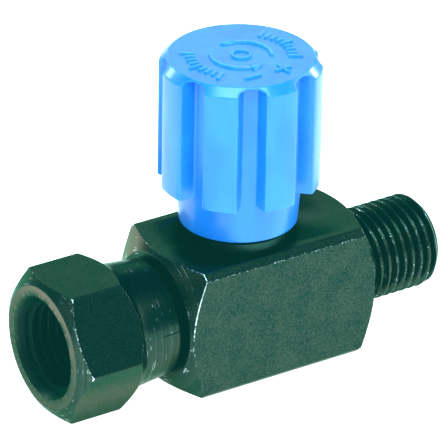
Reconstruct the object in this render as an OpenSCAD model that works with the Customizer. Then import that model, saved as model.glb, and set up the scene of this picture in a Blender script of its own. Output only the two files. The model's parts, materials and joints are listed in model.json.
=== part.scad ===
// In-line needle valve with a swivelling hexagon nut at the inlet, a square bar body,
// a parallel male thread at the outlet and a lobed plastic knob on a rising stem.
//
// Frame, in millimetres: X runs along the flow, from the nut towards the male thread.
// Z runs up along the stem. The origin is on the stem axis, on the flat that the body rests on.

/* [Bar] */
// Width across the flats of the square bar
bar_w = 19; // [19:0.5:22]
// Leg of the chamfer along the four long edges of the bar
bar_chamfer = 0.85; // [0.4:0.05:1]
// From the stem axis to the bar's inlet end face
bar_inlet = 13.4; // [13:0.1:14]
// From the stem axis to the bar's outlet end face
bar_outlet = 16.8; // [16:0.1:20]
// Radius of the flat land left by the turned cone on each end
end_land_r = 8.9; // [8:0.1:9.2]
// Slope of the turned cones, back from the end faces
cone_angle = 30; // [20:1:40]

/* [Pipe threads] */
// Major radius of the G 1/4 pipe thread
pipe_major_r = 6.5785; // [6.5785]
// Minor radius of the G 1/4 pipe thread
pipe_minor_r = 5.7225; // [5.7225]
// Pitch of the G 1/4 pipe thread, 19 to the inch
pipe_pitch = 1.337; // [1.337]
// Crests on the male thread
male_crests = 9; // [7:1:9]
// Length of the male end, from the bar's face to the tip
male_len = 13.2; // [13.2:0.1:16]
// Crests in the swivel nut
female_crests = 6; // [4:1:6]

/* [Swivel nut] */
// Width across the flats of the hexagon
nut_af = 19; // [19:0.5:20]
// Length of the nut, from its mouth to the crimped lip
nut_len = 17.2; // [17.2:0.1:18]
// Length of the hexagon, from the mouth to the round tail
hex_len = 10.2; // [10:0.1:10.6]
// Gap between the crimped lip and the bar
nut_gap = 0.5; // [0.3:0.1:0.8]
// Radius of the round tail where it leaves the hexagon
tail_r = 8.75; // [8.6:0.05:8.9]
// Radius of the tail just before the crimped lip
lip_r = 8.15; // [7.8:0.05:8.4]
// Radius of the flat ring around the mouth
mouth_face_r = 8.65; // [8.4:0.05:9]
// Radius of the countersink at the mouth
mouth_r = 7.25; // [7:0.05:7.6]

/* [Spigot] */
// Radius of the spigot that the nut turns on
spigot_r = 6.2; // [6.1:0.05:6.2]
// Radius of the spigot's neck under the crimped lip
neck_r = 5.5; // [5.2:0.1:5.6]
// Running clearance between the spigot and the nut, on the radius
run_gap = 0.05; // [0.03:0.01:0.08]

/* [Flow path] */
// Radius of the bores in both ends
port_r = 2.25; // [1.5:0.05:2.5]
// Radius of the drillings that lead to the seat
drill_r = 1.2; // [0.8:0.1:1.2]
// Radius of the orifice in the seat
seat_r = 1.3; // [1:0.1:1.3]

/* [Stem] */
// Travel of the stem from closed to fully open
stem_travel = 3.5; // [2:0.5:3.5]
// Radius of the piston that carries the stem seals
piston_r = 4.4; // [4.3:0.05:4.4]
// Radius of the part of the stem that turns in the bonnet's thread
screw_r = 3.7; // [3.5:0.05:3.75]
// Radius of the stem's end inside the knob
tang_r = 3; // [2.5:0.1:3]

/* [Knob] */
// Radius over the lobes
knob_r = 11.05; // [10.8:0.05:11.5]
// Height of the knob
knob_h = 24.1; // [23:0.1:25]
// Height of the round collar under the lobes
collar_h = 5.9; // [5:0.1:6.5]
// Radius of the collar at its foot
collar_foot_r = 8.1; // [8:0.05:8.3]
// Radius of the collar where it meets the lobes
collar_top_r = 8.55; // [8.4:0.05:8.7]
// Gap between the collar and the bar when the valve is closed
collar_gap = 2; // [1.8:0.1:2.5]
// Number of finger flutes
flutes = 8; // [6:1:8]
// Width of a flute at its floor
flute_w = 2.2; // [2:0.1:2.6]
// How much a flute widens for each millimetre outwards
flute_flare = 0.75; // [0.5:0.05:0.8]
// Leg of the chamfer round the top edge
crown_chamfer = 1.15; // [0.8:0.05:1.3]

/* [Hidden] */

$fn = 96;
eps = 0.01;

// Heights: the flow axis lies half a bar above the base
axis_z = bar_w / 2;
top_z = bar_w;

// Whitworth form: sloping flanks, equal flats on crest and root
flank_angle = 27.5;
thread_depth = pipe_major_r - pipe_minor_r;
flank_run = thread_depth * tan(flank_angle);
thread_flat = (pipe_pitch - 2 * flank_run) / 2;

// Stations along the flow, measured from the stem axis
nut_rear = -bar_inlet - nut_gap;
nut_front = nut_rear - nut_len;
hex_rear = nut_front + hex_len;
nut_rear_angle = 43;
mouth_cut = mouth_r - pipe_major_r;
female_start = nut_front + mouth_cut + 0.25;
female_end = female_start + female_crests * pipe_pitch;
relief_end = female_end + 1;
lip_w = 2.15;
lip_x = nut_rear - lip_w;
lip_edge = 0.35;
slip_w = 0.9;
shoulder_x = lip_x - run_gap - slip_w;
nose_x = relief_end - 0.3;
groove_x = relief_end + 0.4;
swivel_ring_w = 1.5;
swivel_backup_w = 1.1;
groove_end = groove_x + swivel_ring_w + swivel_backup_w + 0.2;
groove_floor_r = 4.95;
nut_bore_r = spigot_r + run_gap;
male_tip = bar_outlet + male_len;
male_start = bar_outlet + 0.55;
tip_edge = 0.35;

// Stations along the stem, measured up from the base
chamber_floor = axis_z - 1.5;
chamber_r = 3.4;
bonnet_foot = axis_z + 1.2;
skirt_r = 5.4;
skirt_top = axis_z + 3;
bonnet_thread_r = 6;
seal_seat_r = 7;
seal_seat_z = top_z - 1.3;
flange_r = 7.6;
flange_top = top_z + 1.5;
bonnet_hex_af = 11;
bonnet_hex_h = 3;
bonnet_hex_top = flange_top + bonnet_hex_h;
bonnet_nose_r = 6.2;
bonnet_top = axis_z + 17.7;
piston_foot = axis_z + 2.4;
piston_land = 0.8;
stem_ring_w = 1.4;
stem_backup_w = 0.8;
stem_groove_foot = piston_foot + piston_land;
stem_groove_top = stem_groove_foot + stem_ring_w + 2 * stem_backup_w;
stem_groove_r = 3.15;
piston_top = stem_groove_top + piston_land;
piston_stop = piston_top + stem_travel + 0.1;
screw_top = axis_z + 18;
tang_top = axis_z + 26.5;
bore_r = piston_r + run_gap;
stem_foot_r = 2.2;
stem_neck_r = 3.3;
tang_flat = 2.5;

// Seat and needle
seat_insert_r = 2.6;
seat_insert_h = 1.7;
tip_shank_r = 1;
tip_seat_r = 1.8;
tip_top = axis_z + 1.2;
needle_end_r = 0.55;
needle_reach = 2.7;

// Pin that locks the bonnet, and the seal between the bonnet and the knob
lock_pin_r = 0.6;
lock_pin_at = 7.9;
lock_pin_angle = 60;
lock_pin_foot = top_z - 2.5;
dust_floor_r = 5.3;
dust_groove_w = 1.8;
dust_z = bonnet_hex_top + 1.9;

// Knob stations
knob_foot = top_z + collar_gap;
lobe_foot = knob_foot + collar_h;
knob_top = knob_foot + knob_h;
skirt_bore_r = 6.95;
insert_r = 5;
insert_top = axis_z + 27.5;
flute_turn = -2.5;
flute_end_gap = 0.7;
screw_angle = 67.5 + flute_turn;
screw_z = axis_z + 23;
set_screw_r = 2;

// Turns a shape drawn along Z so that it lies along the flow axis
module along_flow() {
    translate([0, 0, axis_z]) rotate([0, 90, 0]) children();
}

// A straight bore along Z from z0 to z1
module bore(r, z0, z1) {
    translate([0, 0, z0]) cylinder(r = r, h = z1 - z0);
}

// A flat-sided ring along Z from z0 to z1
module ring(r_in, r_out, z0, z1) {
    rotate_extrude() translate([r_in, z0]) square([r_out - r_in, z1 - z0]);
}

// A round-section ring along Z, between two radii
module o_ring(r_in, r_out, z) {
    rotate_extrude() translate([(r_in + r_out) / 2, z]) circle(r = (r_out - r_in) / 2, $fn = 48);
}

// Outline of one thread ridge, as [radius, station] points from the root at x
function ridge(x, root, crest) = [
    [root, x],
    [crest, x + flank_run],
    [crest, x + flank_run + thread_flat],
    [root, x + 2 * flank_run + thread_flat]
];

// Outlines of count ridges side by side
function ridges(x, count, root, crest) = [
    for (i = [0 : count - 1]) for (p = ridge(x + i * pipe_pitch, root, crest)) p
];

// How far a cone at the given angle falls back between two radii
function cone_back(r0, r1, angle) = (r1 - r0) * tan(angle);

// ---- Body ----

// Everything the lathe turns on the bar: spigot, neck, end cones and male thread
module turned_bar() {
    corner_r = bar_w;
    reach = cone_back(end_land_r, corner_r, cone_angle);
    spigot = [
        [0, nose_x],
        [spigot_r - 0.4, nose_x],
        [spigot_r, nose_x + 0.4],
        [spigot_r, groove_x],
        [groove_floor_r, groove_x],
        [groove_floor_r, groove_end],
        [spigot_r, groove_end],
        [spigot_r, shoulder_x],
        [neck_r, shoulder_x],
        [neck_r, -bar_inlet],
        [end_land_r, -bar_inlet]
    ];
    cones = [
        [corner_r, reach - bar_inlet],
        [corner_r, bar_outlet - reach],
        [end_land_r, bar_outlet],
        [pipe_minor_r, bar_outlet]
    ];
    tip = [
        [pipe_minor_r, male_tip - tip_edge],
        [pipe_minor_r - tip_edge, male_tip],
        [0, male_tip]
    ];
    outline = concat(spigot, cones, ridges(male_start, male_crests, pipe_minor_r, pipe_major_r), tip);
    rotate_extrude() polygon(outline);
}

// The square bar with its long edges chamfered
module square_bar() {
    half = bar_w / 2;
    flat = half - bar_chamfer;
    translate([0, 0, nose_x - 1]) linear_extrude(male_tip - nose_x + 2) polygon([
        [half, flat], [flat, half], [-flat, half], [-half, flat],
        [-half, -flat], [-flat, -half], [flat, -half], [half, -flat]
    ]);
}

// Passage from the inlet port down to the underside of the seat
module inlet_drilling() {
    port_end = -10.5;
    drop = 6.2;
    slope = atan(drop / -port_end);
    along_flow() bore(port_r, nose_x - 1, port_end);
    translate([port_end - 0.4, 0, axis_z - 0.6])
        rotate([0, 90 + slope, 0])
            cylinder(r = drill_r, h = -port_end / cos(slope));
    bore(seat_r, axis_z - 8, chamber_floor);
}

// Passage from the stem chamber to the outlet port
module outlet_drilling() {
    along_flow() bore(drill_r, 0, male_tip - 20);
    along_flow() bore(port_r, male_tip - 21, male_tip + 1);
    along_flow() translate([0, 0, male_tip - 0.8]) cylinder(r1 = port_r, r2 = port_r + 1, h = 1);
}

// The bore that takes the seat, the stem and the bonnet from above
module bonnet_cavity() {
    bore(seat_insert_r, chamber_floor - seat_insert_h, chamber_floor + eps);
    bore(chamber_r, chamber_floor, bonnet_foot + eps);
    bore(skirt_r, bonnet_foot, skirt_top + eps);
    bore(bonnet_thread_r, skirt_top, seal_seat_z + eps);
    bore(seal_seat_r, seal_seat_z, top_z + 1);
}

module lock_pin_hole(r) {
    rotate(lock_pin_angle) translate([lock_pin_at, 0, 0]) bore(r, lock_pin_foot, flange_top + 1);
}

module valve_body() {
    color("darkslategray") difference() {
        along_flow() intersection() {
            turned_bar();
            square_bar();
        }
        inlet_drilling();
        outlet_drilling();
        bonnet_cavity();
        lock_pin_hole(lock_pin_r);
    }
}

// Small hardened ring pressed into the floor of the stem chamber
module seat_insert() {
    color("silver") ring(seat_r, seat_insert_r, chamber_floor - seat_insert_h, chamber_floor);
}

// ---- Swivel nut and its seals ----

// Turned outline of the nut: chamfered hexagon, round tail, crimped lip
module turned_nut() {
    corner_r = nut_af * 0.6;
    front_back = cone_back(mouth_face_r, corner_r, cone_angle);
    rear_back = cone_back(nut_af / 2, corner_r, nut_rear_angle);
    tail_start = hex_rear + cone_back(tail_r, nut_af / 2, nut_rear_angle);
    rotate_extrude() polygon([
        [0, nut_front],
        [mouth_face_r, nut_front],
        [corner_r, nut_front + front_back],
        [corner_r, hex_rear - rear_back],
        [tail_r, tail_start],
        [lip_r, nut_rear - lip_edge],
        [lip_r - lip_edge, nut_rear],
        [0, nut_rear]
    ]);
}

// Inside of the nut: countersunk mouth, thread, relief, spigot bore, crimped lip
module nut_cavity() {
    front = [
        [0, nut_front - 1],
        [mouth_r, nut_front - 1],
        [mouth_r, nut_front],
        [pipe_major_r, nut_front + mouth_cut]
    ];
    rear = [
        [pipe_major_r + 0.1, female_end],
        [pipe_major_r + 0.1, relief_end - 0.2],
        [nut_bore_r, relief_end],
        [nut_bore_r, lip_x],
        [neck_r + run_gap, lip_x],
        [neck_r + run_gap, nut_rear - 0.3],
        [neck_r + run_gap + 0.3, nut_rear],
        [neck_r + run_gap + 0.3, nut_rear + 1],
        [0, nut_rear + 1]
    ];
    thread = ridges(female_start, female_crests, pipe_major_r, pipe_minor_r);
    rotate_extrude() polygon(concat(front, thread, rear));
}

module swivel_nut() {
    color("darkslategray") along_flow() difference() {
        intersection() {
            turned_nut();
            translate([0, 0, nut_front - 1])
                rotate(30) cylinder(d = nut_af / cos(30), h = nut_len + 2, $fn = 6);
        }
        nut_cavity();
    }
}

module swivel_o_ring() {
    color("dimgray") along_flow()
        o_ring(groove_floor_r, nut_bore_r - 0.02, groove_x + swivel_ring_w / 2 + 0.05);
}

module swivel_backup_ring() {
    color("white") along_flow()
        ring(groove_floor_r, nut_bore_r - 0.02, groove_end - swivel_backup_w, groove_end);
}

module swivel_slip_ring() {
    color("goldenrod") along_flow()
        ring(neck_r, nut_bore_r - 0.02, shoulder_x, shoulder_x + slip_w);
}

// ---- Bonnet ----

// The screwed bush that guides the stem and carries its thread
module bonnet() {
    color("slategray") difference() {
        union() {
            bore(skirt_r, bonnet_foot, skirt_top);
            bore(bonnet_thread_r, skirt_top, top_z);
            bore(flange_r, top_z, flange_top);
            translate([0, 0, flange_top])
                cylinder(d = bonnet_hex_af / cos(30), h = bonnet_hex_h, $fn = 6);
            bore(bonnet_nose_r, bonnet_hex_top, bonnet_top);
        }
        bore(bore_r, bonnet_foot - 1, piston_stop);
        bore(screw_r + run_gap, piston_stop - eps, bonnet_top + 1);
        ring(dust_floor_r, skirt_bore_r, dust_z - dust_groove_w / 2, dust_z + dust_groove_w / 2);
        lock_pin_hole(lock_pin_r + 0.05);
    }
}

module bonnet_o_ring() {
    color("dimgray") o_ring(bonnet_thread_r, seal_seat_r, (seal_seat_z + top_z) / 2);
}

module bonnet_lock_pin() {
    color("silver") rotate(lock_pin_angle) translate([lock_pin_at, 0, 0])
        bore(lock_pin_r, lock_pin_foot, flange_top - 0.2);
}

module dust_seal() {
    color("dimgray") o_ring(dust_floor_r, skirt_bore_r - 0.03, dust_z);
}

// ---- Stem and its seals ----

module stem_backup_lower() {
    color("white")
        ring(stem_groove_r, bore_r - 0.02, stem_groove_foot, stem_groove_foot + stem_backup_w);
}

module stem_o_ring() {
    color("dimgray")
        o_ring(stem_groove_r, bore_r - 0.02, stem_groove_foot + stem_backup_w + stem_ring_w / 2);
}

module stem_backup_upper() {
    color("white")
        ring(stem_groove_r, bore_r - 0.02, stem_groove_top - stem_backup_w, stem_groove_top);
}

// Stem: foot that holds the tip, piston, neck, screw and the tang in the knob
module valve_stem() {
    color("lightsteelblue") difference() {
        rotate_extrude() polygon([
            [0, tip_top],
            [stem_foot_r, tip_top],
            [stem_foot_r, piston_foot],
            [piston_r, piston_foot],
            [piston_r, stem_groove_foot],
            [stem_groove_r, stem_groove_foot],
            [stem_groove_r, stem_groove_top],
            [piston_r, stem_groove_top],
            [piston_r, piston_top],
            [stem_neck_r, piston_top],
            [stem_neck_r, piston_top + 1],
            [screw_r, piston_top + 1.4],
            [screw_r, screw_top - 0.4],
            [screw_r - 0.4, screw_top],
            [tang_r, screw_top],
            [tang_r, tang_top - 0.4],
            [tang_r - 0.4, tang_top],
            [0, tang_top]
        ]);
        bore(tip_shank_r, tip_top - 1, tip_top + 2.4);
        rotate(screw_angle) translate([tang_flat, -tang_r, screw_z - 2.6])
            cube([tang_r, 2 * tang_r, 7]);
    }
}

// The needle: a hardened cone whose shank is swaged into the stem
module needle_tip() {
    color("gainsboro") rotate_extrude() polygon([
        [0, chamber_floor - needle_reach],
        [needle_end_r, chamber_floor - needle_reach],
        [seat_r - 0.01, chamber_floor],
        [tip_seat_r, chamber_floor + 1.86],
        [tip_seat_r, tip_top],
        [tip_shank_r, tip_top],
        [tip_shank_r, tip_top + 2.3],
        [0, tip_top + 2.3]
    ]);
}

// ---- Knob ----

// One finger flute: straight floor and slanted walls, cut along +X
module flute() {
    floor_r = collar_top_r + 0.1;
    mouth = flute_w + (knob_r + 1 - floor_r) * flute_flare;
    translate([0, 0, lobe_foot - 1]) linear_extrude(knob_top - flute_end_gap - lobe_foot + 1) polygon([
        [floor_r, -flute_w / 2],
        [knob_r + 1, -mouth / 2],
        [knob_r + 1, mouth / 2],
        [floor_r, flute_w / 2]
    ]);
}

module knob_blank() {
    rotate_extrude() polygon([
        [0, knob_foot],
        [collar_foot_r, knob_foot],
        [collar_top_r, lobe_foot],
        [knob_r, lobe_foot],
        [knob_r, knob_top - crown_chamfer],
        [knob_r - crown_chamfer, knob_top],
        [0, knob_top]
    ]);
}

// Radial hole for the set screw, through the floor of a rear flute
module set_screw_hole(r, from, to) {
    translate([0, 0, screw_z]) rotate([0, 0, screw_angle]) rotate([0, 90, 0]) bore(r, from, to);
}

module knob() {
    color("dodgerblue") difference() {
        knob_blank();
        for (i = [0 : flutes - 1]) rotate((i + 0.5) * 360 / flutes + flute_turn) flute();
        bore(skirt_bore_r, knob_foot - 1, screw_top);
        bore(insert_r, screw_top - eps, insert_top);
        set_screw_hole(set_screw_r + 0.1, insert_r - 1, knob_r);
    }
}

// Brass hub moulded into the knob
module knob_insert() {
    color("gold") difference() {
        bore(insert_r, screw_top, insert_top);
        bore(tang_r, screw_top - 1, tang_top + 0.3);
        set_screw_hole(set_screw_r, tang_flat, insert_r + 1);
    }
}

// Socket set screw that clamps the hub to the flat on the stem
module knob_set_screw() {
    color("dimgray") difference() {
        set_screw_hole(set_screw_r, tang_flat, tang_flat + 5);
        translate([0, 0, screw_z]) rotate([0, 0, screw_angle]) rotate([0, 90, 0])
            translate([0, 0, tang_flat + 3]) cylinder(d = 2 / cos(30), h = 3, $fn = 6);
    }
}

valve_body();
swivel_nut();
swivel_o_ring();
swivel_backup_ring();
swivel_slip_ring();
seat_insert();
bonnet();
bonnet_o_ring();
bonnet_lock_pin();
dust_seal();
stem_o_ring();
stem_backup_lower();
stem_backup_upper();
valve_stem();
needle_tip();
knob();
knob_insert();
knob_set_screw();
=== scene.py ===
"""Looks of an in-line needle valve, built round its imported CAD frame.

The valve has four bodies that ride apart: the square body with its bonnet, the swivel nut, the seals on the
stem, and the knob with the stem. The square body, the nut and the knob are modelled here in full, and raised
marks are added on the knob. The small parts keep their CAD shapes and get a better finish. Lengths are in
millimetres until a mesh is made, in the frame's axes: X along the flow, Z up the stem, the base at zero.
"""

from __future__ import annotations

import json
import logging
import math
from dataclasses import dataclass, field
from enum import Enum
from typing import Sequence

import bmesh
import bpy
import numpy as np
from mathutils import Matrix, Vector

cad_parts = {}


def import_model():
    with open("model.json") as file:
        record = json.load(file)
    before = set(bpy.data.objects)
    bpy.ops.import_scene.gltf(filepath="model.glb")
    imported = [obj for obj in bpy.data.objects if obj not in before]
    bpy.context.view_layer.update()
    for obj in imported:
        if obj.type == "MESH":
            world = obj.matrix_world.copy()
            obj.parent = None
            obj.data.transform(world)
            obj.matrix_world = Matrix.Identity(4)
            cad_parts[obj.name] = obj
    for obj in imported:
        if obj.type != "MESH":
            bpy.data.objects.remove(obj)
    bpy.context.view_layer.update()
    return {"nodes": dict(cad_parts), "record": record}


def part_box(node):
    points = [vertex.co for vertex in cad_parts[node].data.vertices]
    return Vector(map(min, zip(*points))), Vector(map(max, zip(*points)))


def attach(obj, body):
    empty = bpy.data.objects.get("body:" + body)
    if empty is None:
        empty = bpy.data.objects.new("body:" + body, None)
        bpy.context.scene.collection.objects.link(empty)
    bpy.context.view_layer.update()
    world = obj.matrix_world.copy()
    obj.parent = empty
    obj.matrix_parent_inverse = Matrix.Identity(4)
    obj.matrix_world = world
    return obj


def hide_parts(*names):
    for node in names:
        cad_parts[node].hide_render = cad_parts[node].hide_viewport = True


log = logging.getLogger("needle_valve")

Array = np.ndarray
Colour = tuple[float, float, float]
Place = tuple[float, float, float]

MM = 0.001
TURN = 2 * math.pi
MERGE_DISTANCE = 1.5e-6
SHARP_ANGLE = math.radians(38)
CORNER_STEPS = 4
PLUG_COLUMNS = 96


# ---------------------------------------------------------------------------------------------------------
# Shader graphs


class Value:
    """A number in a shader graph. Python's operators on it add the matching Math nodes."""

    def __init__(self, graph: "Graph", socket: bpy.types.NodeSocket) -> None:
        """Keeps the graph and the socket that carries the number."""
        self.graph = graph
        self.socket = socket

    def _math(self, operation: str, first: "Value | float", second: "Value | float") -> "Value":
        """Adds one Math node.

        Args:
            operation: the node's operation, such as ADD.
            first: the left operand.
            second: the right operand.

        Returns:
            The node's result.
        """
        node = self.graph.node("Math", {"operation": operation}, {0: first, 1: second})
        return Value(self.graph, node.outputs[0])

    def __add__(self, other: "Value | float") -> "Value":
        """self + other."""
        return self._math("ADD", self, other)

    def __radd__(self, other: float) -> "Value":
        """other + self."""
        return self._math("ADD", other, self)

    def __sub__(self, other: "Value | float") -> "Value":
        """self - other."""
        return self._math("SUBTRACT", self, other)

    def __rsub__(self, other: float) -> "Value":
        """other - self."""
        return self._math("SUBTRACT", other, self)

    def __mul__(self, other: "Value | float") -> "Value":
        """self * other."""
        return self._math("MULTIPLY", self, other)

    def __rmul__(self, other: float) -> "Value":
        """other * self."""
        return self._math("MULTIPLY", other, self)

    def __pow__(self, other: "Value | float") -> "Value":
        """self ** other."""
        return self._math("POWER", self, other)

    def step(self, low: float, high: float) -> "Value":
        """Rises smoothly from 0 at low to 1 at high."""
        settings = {"interpolation_type": "SMOOTHSTEP"}
        node = self.graph.node("MapRange", settings, {"Value": self, "From Min": low, "From Max": high})
        return Value(self.graph, node.outputs["Result"])


class Graph:
    """A material's node tree, with one method that adds any node and short ones for the usual steps."""

    def __init__(self, name: str) -> None:
        """Makes an empty material with its Principled shader and its output."""
        self.material = bpy.data.materials.new(name)
        self.material.use_nodes = True
        self.tree = self.material.node_tree
        self.tree.nodes.clear()
        self.shader = self.node("BsdfPrincipled")
        output = self.node("OutputMaterial")
        self.tree.links.new(self.shader.outputs[0], output.inputs["Surface"])
        place = self.node("TexCoord").outputs["Object"]
        millimetres = self.node("VectorMath", {"operation": "SCALE"}, {0: place, "Scale": 1 / MM})
        self.position = millimetres.outputs["Vector"]

    def node(self, kind: str, settings: dict | None = None, inputs: dict | None = None) -> bpy.types.Node:
        """Adds a node.

        Args:
            kind: the node's type without its ShaderNode prefix.
            settings: the node's own properties, set before its sockets.
            inputs: a value, a socket or a Value for each input, by name or number.

        Returns:
            The new node.
        """
        node = self.tree.nodes.new("ShaderNode" + kind)
        for key, setting in (settings or {}).items():
            setattr(node, key, setting)
        for key, value in (inputs or {}).items():
            self.feed(node.inputs[key], value)
        return node

    def feed(self, target: bpy.types.NodeSocket, value: object) -> None:
        """Links a socket or a Value to a target socket, or sets a plain number or colour on it."""
        if isinstance(value, Value):
            value = value.socket
        if isinstance(value, bpy.types.NodeSocket):
            self.tree.links.new(value, target)
        elif isinstance(value, tuple) and len(value) == 3 and len(getattr(target, "default_value", ())) == 4:
            target.default_value = (*value, 1.0)
        else:
            target.default_value = value

    def attribute(self, name: str) -> Value:
        """Reads one of the mesh's own numbers."""
        return Value(self, self.node("Attribute", {"attribute_name": name}).outputs["Fac"])

    def coordinate(self, stretch: Place) -> bpy.types.NodeSocket:
        """The place on the object, in millimetres, with each axis stretched by its own factor."""
        node = self.node("VectorMath", {"operation": "MULTIPLY"}, {0: self.position, 1: stretch})
        return node.outputs["Vector"]

    def turning(self, height: float, pitch: float) -> bpy.types.NodeSocket:
        """A coordinate that changes along the flow axis and away from it, but not round it.

        Args:
            height: how high the flow axis lies.
            pitch: lines to the millimetre.

        Returns:
            A vector of the station and the radius, each times the pitch.
        """
        split = self.node("SeparateXYZ", inputs={0: self.position})
        x, y, z = (Value(self, split.outputs[i]) for i in range(3))
        rise = z - height
        radius = (y * y + rise * rise) ** 0.5
        return self.node("CombineXYZ", inputs={0: x * pitch, 1: radius * pitch}).outputs[0]

    def noise(self, place: bpy.types.NodeSocket, scale: float, detail: float, rough: float) -> Value:
        """Smooth noise at a place in space.

        Args:
            place: the coordinate that it is read at.
            scale: lumps to the coordinate's unit.
            detail: number of finer layers.
            rough: strength of each finer layer against the one before.

        Returns:
            A number between 0 and 1.
        """
        inputs = {"Vector": place, "Scale": scale, "Detail": detail, "Roughness": rough}
        return Value(self, self.node("TexNoise", {"noise_dimensions": "3D"}, inputs).outputs["Fac"])

    def mix(self, factor: Value | float, low: object, high: object) -> bpy.types.NodeSocket:
        """A colour that goes from low to high as the factor goes from 0 to 1."""
        # Inputs 6 and 7 and output 2 are the node's sockets for colours
        node = self.node("Mix", {"data_type": "RGBA", "clamp_factor": True}, {0: factor, 6: low, 7: high})
        return node.outputs[2]

    def bump(self, height: Value, depth: float, strength: float) -> bpy.types.NodeSocket:
        """Turns a height into a normal.

        Args:
            height: relief between 0 and 1.
            depth: what a height of 1 measures, in millimetres.
            strength: share of the relief that shows.

        Returns:
            The normal.
        """
        inputs = {"Height": height, "Distance": depth * MM, "Strength": strength}
        return self.node("Bump", inputs=inputs).outputs[0]

    def dress(self, **sockets: object) -> bpy.types.Material:
        """Feeds the shader's sockets, whose names have underscores for spaces, and returns the material."""
        for name, value in sockets.items():
            self.feed(self.shader.inputs[name.replace("_", " ")], value)
        return self.material


# ---------------------------------------------------------------------------------------------------------
# Finishes


@dataclass(frozen=True)
class BlackOxide:
    """Blackened steel: a dark green-black skin, browner where it bloomed, rubbed bright at worn edges."""

    name: str = "black_oxide"
    deep: Colour = (0.004, 0.024, 0.019)
    pale: Colour = (0.044, 0.058, 0.040)
    bloom: Colour = (0.150, 0.095, 0.078)
    # Near black laid where the bloom mark is below 0: painted shade.
    painted_shade: Colour = (0.002, 0.007, 0.006)
    bare_and_highlight_colour: Colour = (0.80, 0.86, 0.92)
    grazing: Colour = (0.46, 0.60, 0.50)
    roughness: float = 0.18
    axis_height: float = 9.5

    def build(self) -> bpy.types.Material:
        """Grain and blotches vary the skin, rings cover the lathe-cut stretches, and edges wear through.

        Returns:
            The material.
        """
        g = Graph(self.name)
        turned = g.attribute("turned")
        edge = g.attribute("wear_and_highlight")
        bloom_and_shade_mark = g.attribute("bloom")
        blotch = g.noise(g.position, 0.30, 3.0, 0.6)
        grain = g.noise(g.position, 5.0, 3.0, 0.7)
        fine = g.noise(g.position, 11.0, 2.0, 0.6)
        warm = g.noise(g.position, 3.6, 3.0, 0.7)
        rings = g.noise(g.turning(self.axis_height, 5.0), 1.0, 4.0, 0.75)
        coarse_rings = g.noise(g.turning(self.axis_height, 1.3), 1.0, 2.0, 0.5)
        tone = blotch * 0.14 + grain * 0.5 + fine * 0.36
        turned_tone = rings * 0.45 + tone * 0.40 + coarse_rings * 0.15
        level = tone + (turned_tone - tone) * turned
        skin = g.mix(level.step(0.40, 0.60), self.deep, self.pale)
        # Below 0 the bloom mark paints shade: the skin goes near black there and its bright marks fade.
        painted_shade = (bloom_and_shade_mark * -1.0).step(0.0, 1.0)
        brown = (bloom_and_shade_mark * 0.95 + warm.step(0.52, 0.72) * 0.22) * (0.62 + level * 0.8)
        skin = g.mix(brown.step(0.0, 1.05), skin, self.bloom)
        skin = g.mix(painted_shade, skin, self.painted_shade)
        # Short bright streaks along the lathe rings are painted highlights, a lamp's streaky reflection in
        # the turned steel.
        streak_patches = g.noise(g.position, 0.62, 2.0, 0.5).step(0.55, 0.63)
        streak_highlight = g.noise(g.turning(self.axis_height, 9.0), 1.0, 1.0, 0.4).step(0.60, 0.70) * streak_patches * turned
        chips = g.noise(g.position, 2.6, 3.0, 0.7)
        speck = g.noise(g.position, 4.6, 1.0, 0.4).step(0.74, 0.80)
        worn = (edge * 1.25 + (chips - 0.5) * 1.3).step(0.55, 0.90)
        # Bare metal at worn edges and specks, plus the painted streak highlights, all dimmed where shade is
        # painted.
        worn_and_highlight_share = (worn + speck * 0.22 + streak_highlight * 0.65) * (1 - painted_shade * 0.8)
        worn_and_highlight_share = worn_and_highlight_share.step(0.0, 1.0)
        lathe = rings * 0.75 + coarse_rings * 0.25
        relief = grain * 0.55 + fine * 0.45
        height = relief + (lathe - relief) * turned
        return g.dress(
            Base_Color=g.mix(worn_and_highlight_share, skin, self.bare_and_highlight_colour),
            Metallic=1.0,
            Roughness=self.roughness + grain * 0.17 - turned * 0.02 + painted_shade * 0.16,
            Normal=g.bump(height, 0.030, 0.75),
            Specular_Tint=self.grazing,
        )


@dataclass(frozen=True)
class MouldedPlastic:
    """Coloured moulded plastic under a thin glossy skin, paler along its edges as a painted highlight."""

    name: str = "blue_moulding"
    body: Colour = (0.014, 0.232, 0.86)
    shade: Colour = (0.008, 0.186, 0.84)
    # The next colour is laid along the knob's edges and raised marks: a painted highlight.
    edge: Colour = (0.10, 0.52, 0.95)
    roughness: float = 0.28

    def build(self) -> bpy.types.Material:
        """Soft flow marks and a fine texture from the mould, with a painted highlight along the edges.

        Returns:
            The material.
        """
        g = Graph(self.name)
        flow = g.noise(g.coordinate((1.0, 1.0, 0.35)), 0.35, 2.0, 0.5)
        fine = g.noise(g.position, 9.0, 3.0, 0.6)
        soft = g.noise(g.position, 1.1, 2.0, 0.5)
        colour = g.mix(flow.step(0.3, 0.7), self.shade, self.body)
        # How much of the pale edge colour shows, read from the wear mark: a painted highlight.
        edge_highlight = (g.attribute("wear_and_highlight") * 0.8 + (soft - 0.5) * 0.4).step(0.3, 0.95)
        colour = g.mix(edge_highlight * 0.8, colour, self.edge)
        height = fine * 0.6 + soft * 0.4
        return g.dress(
            Base_Color=colour,
            Roughness=self.roughness + fine * 0.10 + soft * 0.06,
            Normal=g.bump(height, 0.010, 0.6),
            Specular_IOR_Level=0.4,
            Coat_Weight=0.32,
            Coat_Roughness=0.13,
        )


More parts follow.
